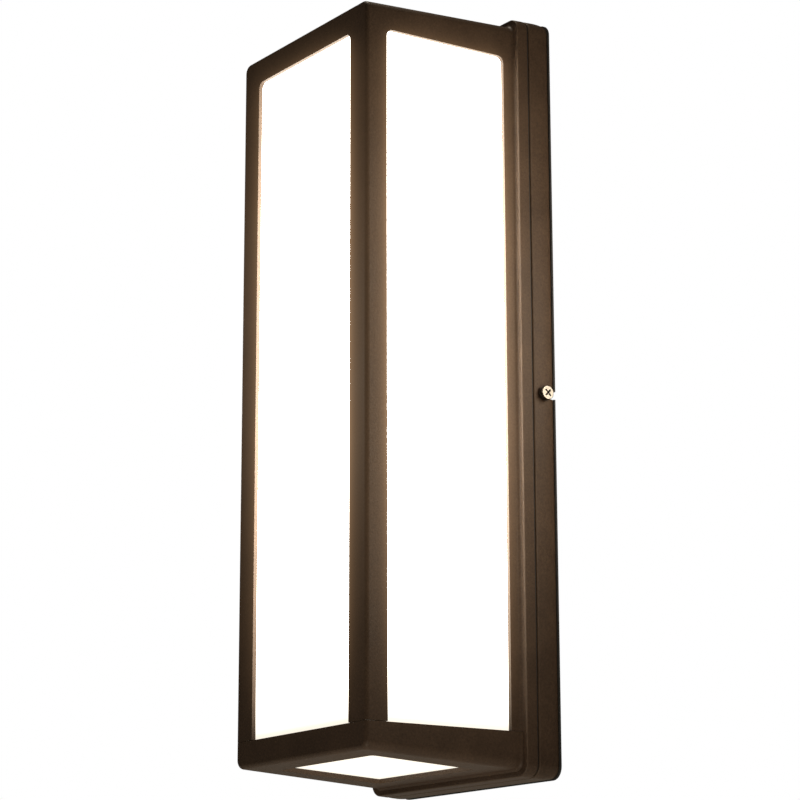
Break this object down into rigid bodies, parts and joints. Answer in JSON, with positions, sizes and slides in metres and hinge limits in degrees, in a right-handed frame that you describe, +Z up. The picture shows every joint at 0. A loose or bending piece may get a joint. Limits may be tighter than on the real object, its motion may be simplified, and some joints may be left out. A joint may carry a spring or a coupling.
{
  "type": "outdoor wall lantern",
  "caption": "Tall drafted cast wall lantern with lit opal panels on its front, sides and underside, on a shallow back pan held to a steel wall plate by side screws.",
  "frame": {"origin": "centre of the back, on the wall plane, midway between the outlet-box slots", "axes": "+Z up along the wall, +X to the right seen from the room, -Y out from the wall into the room"},
  "size_m": [0.1636, 0.127, 0.457],
  "materials": {
    "bronze_coat": "dark bronze powder coat with a fine texture on a casting",
    "opal_acrylic": "opal white diffuser, lit from behind by warm white light",
    "black_rubber": "matt moulded rubber",
    "foam": "closed-cell foam strip",
    "zinc_steel": "bright zinc plate",
    "green_steel": "green zinc plate",
    "nickel_steel": "bright nickel plate",
    "white_sheet": "white reflective paint",
    "white_board": "white solder mask",
    "led_phosphor": "yellow phosphor in clear silicone",
    "driver_case": "moulded polycarbonate",
    "red_wire": "silicone insulation",
    "black_wire": "silicone insulation"
  },
  "bodies": {
    "wall_plate": {"mounting_plate": "zinc_steel", "flange_nuts": "zinc_steel", "ground_screw": "green_steel"},
    "lantern": {"back_pan": "bronze_coat", "wall_gasket": "foam", "pan_gasket": "black_rubber", "wire_grommet": "black_rubber", "cage_frame": "bronze_coat", "bottom_frame": "bronze_coat", "bottom_frame_screws": "zinc_steel", "cage_screws": "zinc_steel", "front_panel": "opal_acrylic", "left_panel": "opal_acrylic", "right_panel": "opal_acrylic", "bottom_panel": "opal_acrylic", "panel_seals": "black_rubber", "led_column": "white_sheet", "column_end_caps": "white_sheet", "column_screws": "zinc_steel", "front_led_board": "white_board", "left_led_board": "white_board", "right_led_board": "white_board", "front_leds": "led_phosphor", "left_leds": "led_phosphor", "right_leds": "led_phosphor", "board_screws": "zinc_steel", "led_driver": "driver_case", "driver_screws": "zinc_steel", "red_driver_lead": "red_wire", "black_driver_lead": "black_wire"},
    "left_washer_body": {"left_screw_washer": "nickel_steel"},
    "left_screw_body": {"left_screw": "nickel_steel"},
    "right_washer_body": {"right_screw_washer": "nickel_steel"},
    "right_screw_body": {"right_screw": "nickel_steel"}
  },
  "joints": [
    {"name": "pull_off_wall", "type": "slide", "parent": "wall_plate", "child": "lantern", "axis": [0, -1, 0], "range_m": [0, 0.04]},
    {"name": "left_screw_travel", "type": "slide", "parent": "wall_plate", "child": "left_washer_body", "axis": [-1, 0, 0], "range_m": [-0.0008, 0.005]},
    {"name": "left_screw_turn", "type": "hinge", "parent": "left_washer_body", "child": "left_screw_body", "pos_m": [-0.07934, -0.0088, -0.005], "axis": [-1, 0, 0], "range_deg": [-365, 2269]},
    {"name": "right_screw_travel", "type": "slide", "parent": "wall_plate", "child": "right_washer_body", "axis": [1, 0, 0], "range_m": [-0.0008, 0.005]},
    {"name": "right_screw_turn", "type": "hinge", "parent": "right_washer_body", "child": "right_screw_body", "pos_m": [0.07934, -0.0088, -0.005], "axis": [1, 0, 0], "range_deg": [-365, 2269]}
  ],
  "couplings": [
    {"joint": "left_screw_turn", "follows": "left_screw_travel", "rad_per_m": 7913.3},
    {"joint": "right_screw_turn", "follows": "right_screw_travel", "rad_per_m": 7913.3}
  ]
}
